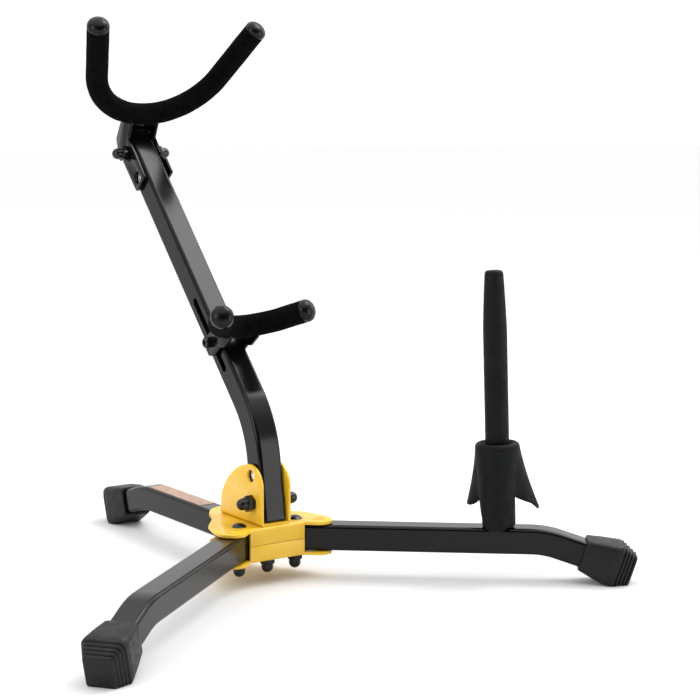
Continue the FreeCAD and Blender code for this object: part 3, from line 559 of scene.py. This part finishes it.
def petal_at(angle):
    """Strength, tip radius and tip height of the nearest petal, and the skirt's lower edge there."""
    nearest = min(PETALS, key=lambda petal: off_petal(angle, petal))
    _, tip_z, tip_r, full = nearest
    off = off_petal(angle, nearest)
    blunt = PETAL_BLUNT_ANGLE
    rise = (math.hypot(off, blunt) - blunt) / (math.hypot(PETAL_HALF_ANGLE, blunt) - blunt)
    strength = (0.5 + 0.5 * math.cos(math.radians(180 * off / PETAL_HALF_ANGLE))) ** PETAL_SHARPNESS
    return strength, tip_r, tip_z, between(tip_z, VALLEY_Z, min(1.0, rise) ** full)


def skirt_profile(angle):
    """Closed (radius, height) outline of the skirt at one angle, always with the same number of points."""
    strength, tip_r, tip_z, low = petal_at(angle)
    shoulder = SKIRT_TOP - SKIRT_SHOULDER
    lip = SKIRT_TOP_R - SKIRT_SHOULDER

    def outer(height):
        drop = (shoulder - height) / (shoulder - tip_z)
        valley = between(SKIRT_TOP_R, VALLEY_R, min(1, drop * VALLEY_TAPER))
        petal = between(SKIRT_TOP_R, tip_r, (1 - PETAL_FLARE) * drop + PETAL_FLARE * drop ** 2)
        return between(valley, petal, strength)

    points = [(PEG_CORE, SKIRT_TOP - SKIRT_RECESS)]
    points += [(radius, SKIRT_TOP - depth) for radius, depth in SKIRT_RECESS_WALL]
    points.append((lip, SKIRT_TOP))
    for step in range(1, SKIRT_SHOULDER_STEPS + 1):
        turn = math.radians(90 * step / SKIRT_SHOULDER_STEPS)
        points.append((lip + SKIRT_SHOULDER * math.sin(turn), shoulder + SKIRT_SHOULDER * math.cos(turn)))
    edge = low + SKIRT_WALL / 2
    for row in range(1, SKIRT_ROWS + 1):
        height = between(shoulder, edge, row / SKIRT_ROWS)
        points.append((outer(height), height))
    rim = outer(edge)
    points += [(rim - SKIRT_RIM_IN, low + SKIRT_RIM_UP), (rim - SKIRT_WALL / 2, low),
               (rim - SKIRT_WALL + SKIRT_RIM_IN, low + SKIRT_RIM_UP)]
    inside_top = SKIRT_TOP - SKIRT_INSIDE
    narrowest = COLUMN_R + COLUMN_GAP
    for row in range(SKIRT_INSIDE_ROWS + 1):
        share = row / SKIRT_INSIDE_ROWS
        height = between(edge, inside_top, share)
        inner = outer(height) - SKIRT_WALL
        points.append((max(narrowest, between(inner, narrowest, share ** 3)), height))
    points.append((COLUMN_R, inside_top - COLUMN_START))
    points += [(COLUMN_R - narrower, height) for narrower, height in COLUMN_OUTLINE]
    points.append((PEG_CORE, COLUMN_FOOT))
    return points


def sleeve_profile(_angle):
    """Closed (radius, height) outline of the peg's rubber sleeve, the same at every angle."""
    foot = SKIRT_TOP - SKIRT_RECESS + SLEEVE_GAP
    points = [(PEG_CORE, foot), (SLEEVE_FOOT_R, foot), (SLEEVE_R, foot + SLEEVE_FOOT_ROUND)]
    points += [(SLEEVE_R, height) for height in range(SLEEVE_FIRST_ROW, SLEEVE_TAPER_FROM, SLEEVE_ROW)]
    for step in range(SLEEVE_TAPER_STEPS + 1):
        share = step / SLEEVE_TAPER_STEPS
        points.append((SLEEVE_R - SLEEVE_THINNER * share ** SLEEVE_TAPER_POWER,
                       SLEEVE_TAPER_FROM + SLEEVE_TAPER * share))
    points += SLEEVE_TIP
    points += [(SLEEVE_AXIS, SLEEVE_BORE_TOP), (PEG_CORE, SLEEVE_BORE_TOP)]
    return points


def turned_about_peg(name, profile_at, steps):
    """Mesh round the peg's leaning axis from a closed profile that may change with the angle."""
    along = math.radians(LEG_ANGLE)
    centre = Vector((LEG_PIVOT_X + PEG_ALONG * math.sin(along), -PEG_ALONG * math.cos(along), LEG_TOP))
    lean_axis = Matrix.Rotation(math.radians(PEG_LEAN_TOWARDS), 3, "Z") @ Vector((0, 1, 0))
    lean = Matrix.Rotation(math.radians(PEG_LEAN), 3, lean_axis)
    rings = []
    for angle in round_angles(steps):
        outward = Vector((math.cos(angle), math.sin(angle), 0))
        ring = [centre + lean @ (outward * radius + Vector((0, 0, height - LEG_TOP)))
                for radius, height in profile_at(math.degrees(angle))]
        rings.append([point * MM for point in ring])
    edit = bmesh.new()
    loft(edit, rings, closed=True)
    return finish_mesh(name, edit, smooth_angle=50)


def add_peg():
    skirt = turned_about_peg("peg_skirt_skin", skirt_profile, SKIRT_STEPS)
    add_piece("peg_skirt_skin", skirt, "instrument_peg", "peg_rubber", "peg_skirt")
    sleeve = turned_about_peg("peg_shaft_skin", sleeve_profile, SLEEVE_STEPS)
    add_piece("peg_shaft_skin", sleeve, "instrument_peg", "peg_rubber", "peg_shaft")


# ---- padded yokes ----

class PaddedU:
    """U-shaped rod with foam and caps; its bracket's place comes from the upright."""

    def __init__(self, pivot_along, ear, tilt, radius, spread, arm):
        """pivot_along is up the tube from its bend; ear is how far the rod is up and forward of the pivot."""
        lower = Vector((0, math.sin(math.radians(LOWER_LEAN)), math.cos(math.radians(LOWER_LEAN))))
        upper = Vector((0, math.sin(math.radians(UPPER_LEAN)), math.cos(math.radians(UPPER_LEAN))))
        rear = Vector((0, upper.z, -upper.y))
        corner = Vector((0, 0, PIVOT_Z)) + lower * PIVOT_TO_CORNER
        self.pivot = corner + upper * pivot_along
        self.ear_up, self.ear_front = ear
        self.base = self.pivot + upper * self.ear_up - rear * self.ear_front
        self.bracket = Matrix((Vector((1, 0, 0)), rear, upper)).transposed().to_4x4()
        self.turn = Matrix.Rotation(math.radians(tilt), 3, "X")
        self.radius = radius
        self.bend = math.radians(90 - spread)
        self.half_length = radius * self.bend + arm

    def at(self, distance):
        """Point on the rod's line and its heading, by signed distance from the middle."""
        side = math.copysign(1, distance)
        travelled = abs(distance)
        on_arc = min(travelled / self.radius, self.bend)
        beyond = travelled - self.radius * on_arc
        heading = Vector((math.cos(on_arc), 0, math.sin(on_arc)))
        point = Vector((math.sin(on_arc), 0, 1 - math.cos(on_arc))) * self.radius + heading * beyond
        flip = Vector((side, 1, 1))
        return self.base + self.turn @ (point * flip), self.turn @ Vector((heading.x, 0, side * heading.z))

    def bracket_place(self):
        """From (across, rearward, up the tube) at the bracket's pivot, in millimetres, to metres."""
        return Matrix.Scale(MM, 4) @ Matrix.Translation(self.pivot) @ self.bracket

    def ring(self, distance, radius, push=None):
        """Ring of points round the rod's line, in metres, each pushed out by its own amount."""
        point, heading = self.at(distance)
        flat = self.turn @ Vector((0, 1, 0))
        across = heading.cross(flat)
        points = []
        for angle in round_angles(FOAM_STEPS):
            outward = flat * math.cos(angle) + across * math.sin(angle)
            here = point + outward * radius
            points.append((here + outward * (push(here) if push else 0)) * MM)
        return points


YOKE = PaddedU(pivot_along=245.7, ear=(18.8, 22.3), tilt=42.2, radius=52.3, spread=17.1, arm=45.7)
CRADLE = PaddedU(pivot_along=72.0, ear=(-5.3, 24.0), tilt=69.5, radius=27.0, spread=25.0, arm=20.0)


def foam_push(point):
    """Uneven surface of the foam sleeve: soft swells and fine pores."""
    return sum(height * noise.noise(point / size) for height, size in FOAM_RELIEF)


def foam_mesh(name, u):
    """Foam sleeve with rounded ends and a bore for the rod."""
    half = u.half_length
    rings = [u.ring(-half + distance, radius) for distance, radius in FOAM_END]
    count = int(2 * half / FOAM_ROW)
    for step in range(count + 1):
        distance = -half + FOAM_FIRST_ROW + (2 * half - 2 * FOAM_FIRST_ROW) * step / count
        rings.append(u.ring(distance, FOAM_R - FOAM_SKIN, foam_push))
    rings += [u.ring(half - distance, radius) for distance, radius in reversed(FOAM_END)]
    count = int(2 * half / FOAM_BORE_ROW)
    for step in range(count + 1):
        distance = half - FOAM_BORE_START - (2 * half - 2 * FOAM_BORE_START) * step / count
        rings.append(u.ring(distance, ROD_R))
    edit = bmesh.new()
    loft(edit, rings, closed=True)
    return finish_mesh(name, edit, smooth_angle=60)


def cut_box(piece, low, high, place):
    """Cut a box out of a piece with an exact boolean, applied at once."""
    mesh = bpy.data.meshes.new("cutter")
    edit = bmesh.new()
    bmesh.ops.create_cube(edit, size=1.0)
    size = Vector(high) - Vector(low)
    middle = (Vector(high) + Vector(low)) / 2
    for vert in edit.verts:
        vert.co = place @ (vert.co * size + middle)
    edit.to_mesh(mesh)
    edit.free()
    cutter = bpy.data.objects.new("cutter", mesh)
    bpy.context.scene.collection.objects.link(cutter)
    cut = piece.modifiers.new("slot", "BOOLEAN")
    cut.operation = "DIFFERENCE"
    cut.solver = "EXACT"
    cut.object = cutter
    applied = bpy.data.meshes.new_from_object(piece.evaluated_get(bpy.context.evaluated_depsgraph_get()))
    piece.modifiers.clear()
    piece.data = applied
    bpy.data.objects.remove(cutter)


def cap_profile():
    """(radius, height) of an end cap from the roof of its hole, round its edge and up its dome."""
    points = [(CAP_HOLE_R, CAP_HOLE_DEPTH), (CAP_HOLE_R, CAP_SEAT), *CAP_EDGE, (FOAM_R, CAP_RIM)]
    for step in range(1, CAP_DOME_STEPS):
        turn = math.radians(90 * step / CAP_DOME_STEPS)
        points.append((FOAM_R * math.cos(turn), CAP_RIM + CAP_DOME * math.sin(turn) ** CAP_DOME_POWER))
    return points


def cap_mesh(name, u):
    """Two domed gloss caps with a fine edge, one on each arm end."""
    edit = bmesh.new()
    for side in (-1, 1):
        point, heading = u.at(side * u.half_length)
        turn = (heading * side).to_track_quat("Z", "Y").to_matrix().to_4x4()
        move = Matrix.Scale(MM, 4) @ Matrix.Translation(point) @ turn
        loft(edit, [[move @ Vector((radius * math.cos(angle), radius * math.sin(angle), height))
                     for angle in round_angles(CAP_STEPS)] for radius, height in cap_profile()])
    return finish_mesh(name, edit, smooth_angle=45)


def add_padding(u, body, prefix):
    """Foam with two slots for the ears that hold the rod, and end caps."""
    name = prefix + "_foam_sleeve"
    padded = add_piece(name, foam_mesh(name, u), body, "foam", prefix + "_foam")
    for middle in (-EAR_MIDDLE, EAR_MIDDLE):
        cut_box(padded, (middle - EAR_SLOT, -u.ear_front - EAR_FRONT, u.ear_up - EAR_LOW),
                (middle + EAR_SLOT, -u.ear_front + 2 * FOAM_R, u.ear_up + EAR_HIGH), u.bracket_place())
    name = prefix + "_end_caps"
    add_piece(name, cap_mesh(name, u), body, "gloss_cap", prefix + "_caps")


# ---- metal pieces with softened edges ----

def refined_mesh(node, bevel):
    """Copy of a CAD node's mesh with merged flats and rounded sharp edges."""
    edit = bmesh.new()
    edit.from_mesh(frame["nodes"][node].data)
    bmesh.ops.remove_doubles(edit, verts=edit.verts, dist=MERGE_DISTANCE * MM)
    bmesh.ops.dissolve_limit(edit, angle_limit=math.radians(FLAT_ANGLE), verts=edit.verts, edges=edit.edges)
    limit = math.radians(SHARP_ANGLE)
    sharp = [edge for edge in edit.edges if edge.is_manifold and edge.calc_face_angle(0) > limit]
    bmesh.ops.bevel(edit, geom=sharp, offset=bevel * MM, offset_type="OFFSET", segments=2, profile=0.5,
                    affect="EDGES", clamp_overlap=True)
    return finish_mesh(node + "_finished", edit, smooth_angle=25)


def add_refined(node, body, mesh):
    add_piece(node + "_finished", mesh, body, NODE_SLOT[node], node)


def add_sliding_washers():
    """Washers of the cradle, a hair off the tube that they slide along."""
    mesh = refined_mesh("cradle_washers", WASHER_BEVEL)
    clear_of_tube = (TUBE / 2 + WASHER_CLEARANCE) * MM
    for vert in mesh.vertices:
        if abs(vert.co.x) < clear_of_tube:
            vert.co.x = math.copysign(clear_of_tube, vert.co.x)
    add_refined("cradle_washers", "body_cradle", mesh)


def add_springs():
    """Leaf springs that give between the back of a button and the far wall of the tube."""
    for place in ("lower", "upper"):
        node = place + "_leaf_spring"
        slot = NODE_SLOT[node]
        spring = place_mesh(node + "_finished", refined_mesh(node, SPRING_BEVEL), slot)
        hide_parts(node)
        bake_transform(spring)


def add_metalwork():
    for body, nodes in REFINED.items():
        for node, bevel in nodes.items():
            add_refined(node, body, refined_mesh(node, bevel))
    add_sliding_washers()
    add_springs()


# ---- stage ----

def add_camera():
    """Camera that looks along the photograph's viewing direction."""
    side = Vector((math.cos(CAMERA_AZIMUTH), math.sin(CAMERA_AZIMUTH), 0))
    level = math.cos(CAMERA_ELEVATION)
    back = Vector((math.sin(CAMERA_AZIMUTH) * level, -math.cos(CAMERA_AZIMUTH) * level,
                   math.sin(CAMERA_ELEVATION)))
    up = back.cross(side)
    rolled_side = side * math.cos(CAMERA_ROLL) + up * math.sin(CAMERA_ROLL)
    rolled_up = up * math.cos(CAMERA_ROLL) - side * math.sin(CAMERA_ROLL)
    place = side * CAMERA_ACROSS + back * CAMERA_DISTANCE + Vector((0, CAMERA_FORWARD, CAMERA_HEIGHT))
    data = bpy.data.cameras.new("camera")
    data.sensor_width = SENSOR
    data.lens = FOCAL
    camera = bpy.data.objects.new("camera", data)
    turn = Matrix((rolled_side, rolled_up, back)).transposed().to_4x4()
    camera.matrix_world = Matrix.Translation(place) @ turn
    bpy.context.scene.collection.objects.link(camera)
    bpy.context.scene.camera = camera


def add_softbox(name, place, target, sides, power):
    data = bpy.data.lights.new(name, "AREA")
    data.shape = "RECTANGLE"
    data.size, data.size_y = sides
    data.energy = power
    light = bpy.data.objects.new(name, data)
    light.location = place
    light.rotation_euler = (Vector(target) - Vector(place)).to_track_quat("-Z", "Y").to_euler()
    bpy.context.scene.collection.objects.link(light)


def add_floor():
    mesh = bpy.data.meshes.new("floor")
    edit = bmesh.new()
    bmesh.ops.create_grid(edit, x_segments=4, y_segments=4, size=FLOOR_REACH)
    edit.to_mesh(mesh)
    edit.free()
    floor = bpy.data.objects.new("floor", mesh)
    floor.location = (0, 0, -FLOOR_DROP)
    bpy.context.scene.collection.objects.link(floor)
    look = Look("pale_floor", colour=(FLOOR_GREY, FLOOR_GREY, FLOOR_GREY), roughness=0.85, specular=0.1)
    mesh.materials.append(look.material)


def add_world():
    """Studio of soft light: white walls, a bright ceiling and a darker side behind the camera."""
    world = bpy.data.worlds.new("studio")
    world.use_nodes = True
    tree = world.node_tree
    heading = tree.nodes.new("ShaderNodeTexCoord").outputs["Generated"]
    to_front = tree.nodes.new("ShaderNodeVectorMath")
    to_front.operation = "DOT_PRODUCT"
    to_front.inputs[1].default_value = (math.sin(CAMERA_AZIMUTH), -math.cos(CAMERA_AZIMUTH), 0)
    tree.links.new(heading, to_front.inputs[0])
    split = tree.nodes.new("ShaderNodeSeparateXYZ")
    tree.links.new(heading, split.inputs[0])

    def step_between(source, low_at, high_at, low, high):
        made = tree.nodes.new("ShaderNodeMapRange")
        made.interpolation_type = "SMOOTHSTEP"
        for key, value in zip(("From Min", "From Max", "To Min", "To Max"), (low_at, high_at, low, high)):
            made.inputs[key].default_value = value
        tree.links.new(source, made.inputs["Value"])
        return made.outputs["Result"]

    def combine(operation, first, second):
        made = tree.nodes.new("ShaderNodeMath")
        made.operation = operation
        tree.links.new(first, made.inputs[0])
        tree.links.new(second, made.inputs[1])
        return made.outputs[0]

    walls = step_between(to_front.outputs["Value"], *DARK_SIDE, WALL_LIGHT, FRONT_LIGHT)
    ceiling = step_between(split.outputs["Z"], *CEILING_EDGE, 0.0, CEILING_LIGHT)
    below = step_between(split.outputs["Z"], *CEILING_EDGE, 1.0, 0.0)
    light = combine("ADD", combine("MULTIPLY", walls, below), ceiling)
    tree.links.new(light, tree.nodes["Background"].inputs["Strength"])
    tree.nodes["Background"].inputs["Color"].default_value = (1, 1, 1, 1)
    bpy.context.scene.world = world


def build_stage():
    bpy.context.scene.view_settings.view_transform = "Standard"
    add_floor()
    add_world()
    for name, settings in SOFTBOXES.items():
        add_softbox(name, **settings)
    add_camera()


dress_frame()
add_metalwork()
add_feet()
add_peg()
add_padding(YOKE, "bell_yoke", "yoke")
add_padding(CRADLE, "body_cradle", "cradle")
build_stage()
